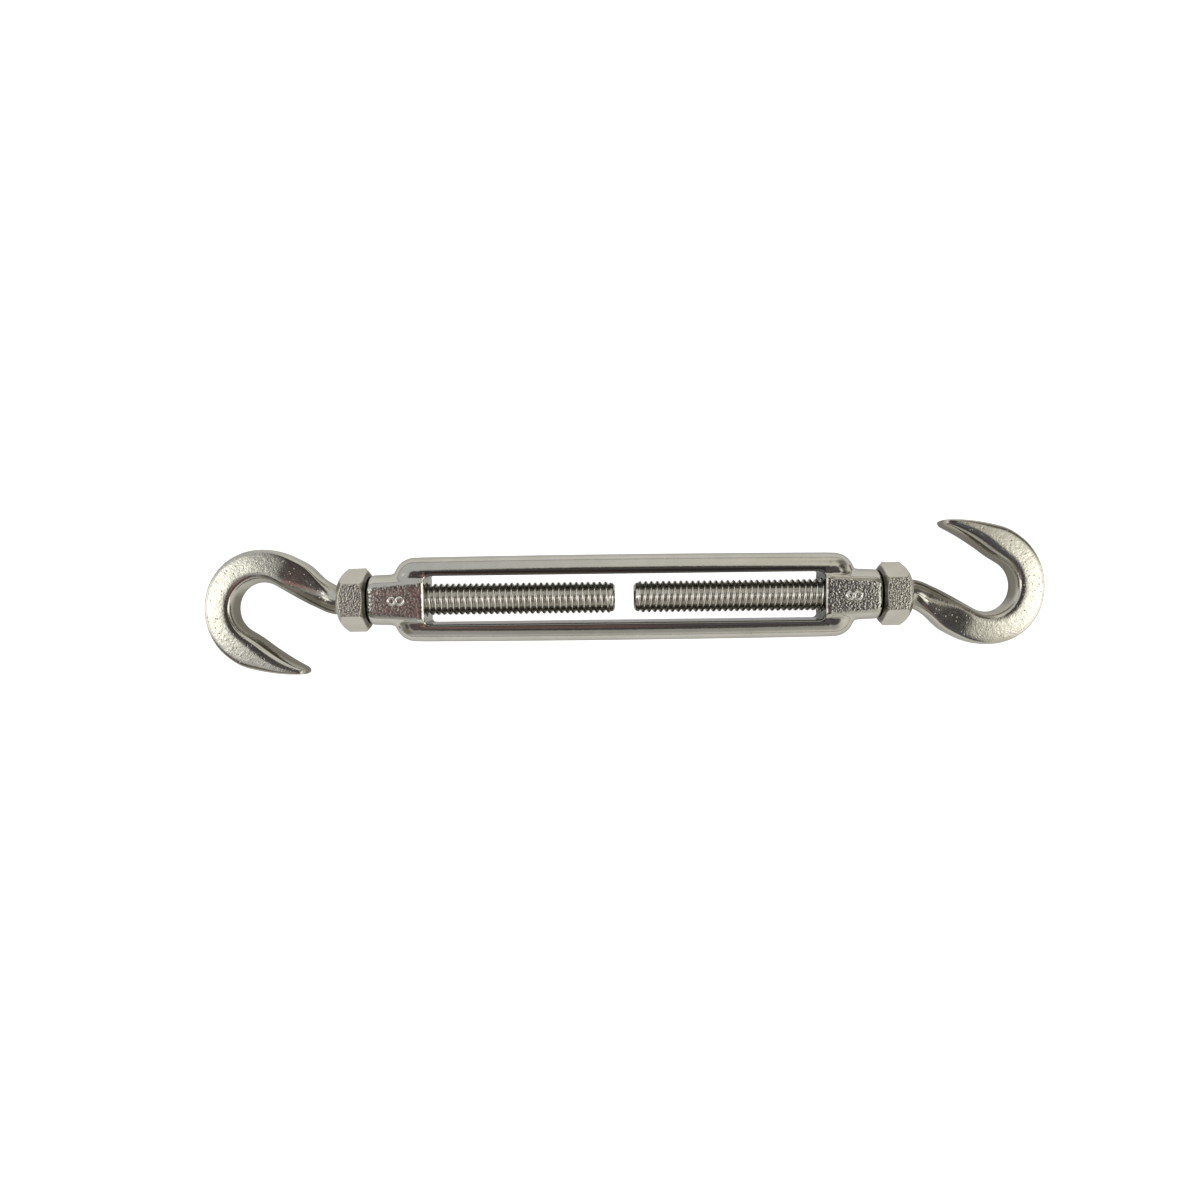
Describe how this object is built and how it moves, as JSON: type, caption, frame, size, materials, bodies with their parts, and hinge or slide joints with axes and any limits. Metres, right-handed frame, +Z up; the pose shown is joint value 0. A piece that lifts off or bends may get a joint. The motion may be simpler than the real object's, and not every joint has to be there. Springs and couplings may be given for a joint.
{
  "type": "hook-and-hook rigging screw",
  "caption": "Open-frame rigging screw with a hook at each end on opposite-hand threads, locked by hexagon nuts; it tensions a shroud, lifeline or lashing.",
  "frame": {"origin": "middle of the frame, on the axis of the two screws, which is also the middle of the overall box", "axes": "+X along the screws towards the left-hand-thread hook; +Y across the two rails, on the side that hook's point lies; +Z up from the lower flats of the lock nuts, square to the plane of the hooks"},
  "size_m": [0.2, 0.0352, 0.0134],
  "materials": {
    "cast_frame": "cast stainless steel, tumbled and polished, slightly uneven",
    "forged_hook": "forged stainless steel, polished, with a fine grain and small pits",
    "turned_nut": "bright drawn stainless hexagon, satin on the flats"
  },
  "bodies": {
    "frame": {"frame": "cast_frame"},
    "right_hand_nut": {"right_hand_lock_nut": "turned_nut"},
    "right_hand_screw": {"right_hand_hook": "forged_hook"},
    "left_hand_nut": {"left_hand_lock_nut": "turned_nut"},
    "left_hand_screw": {"left_hand_hook": "forged_hook"}
  },
  "joints": [
    {"name": "right_hand_turn", "type": "hinge", "parent": "frame", "child": "right_hand_nut", "pos_m": [-0.06438, 0, 0], "axis": [-1, 0, 0], "range_deg": [0, 11160]},
    {"name": "right_hand_feed", "type": "slide", "parent": "right_hand_nut", "child": "right_hand_screw", "axis": [-1, 0, 0], "range_m": [0, 0.04375]},
    {"name": "left_hand_turn", "type": "hinge", "parent": "frame", "child": "left_hand_nut", "pos_m": [0.06438, 0, 0], "axis": [-1, 0, 0], "range_deg": [0, 11160]},
    {"name": "left_hand_feed", "type": "slide", "parent": "left_hand_nut", "child": "left_hand_screw", "axis": [1, 0, 0], "range_m": [0, 0.04375]}
  ],
  "couplings": [
    {"joint": "right_hand_feed", "follows": "right_hand_turn", "m_per_rad": 0.00022457},
    {"joint": "left_hand_turn", "follows": "right_hand_turn", "ratio": 1},
    {"joint": "left_hand_feed", "follows": "right_hand_turn", "m_per_rad": 0.00022457}
  ]
}
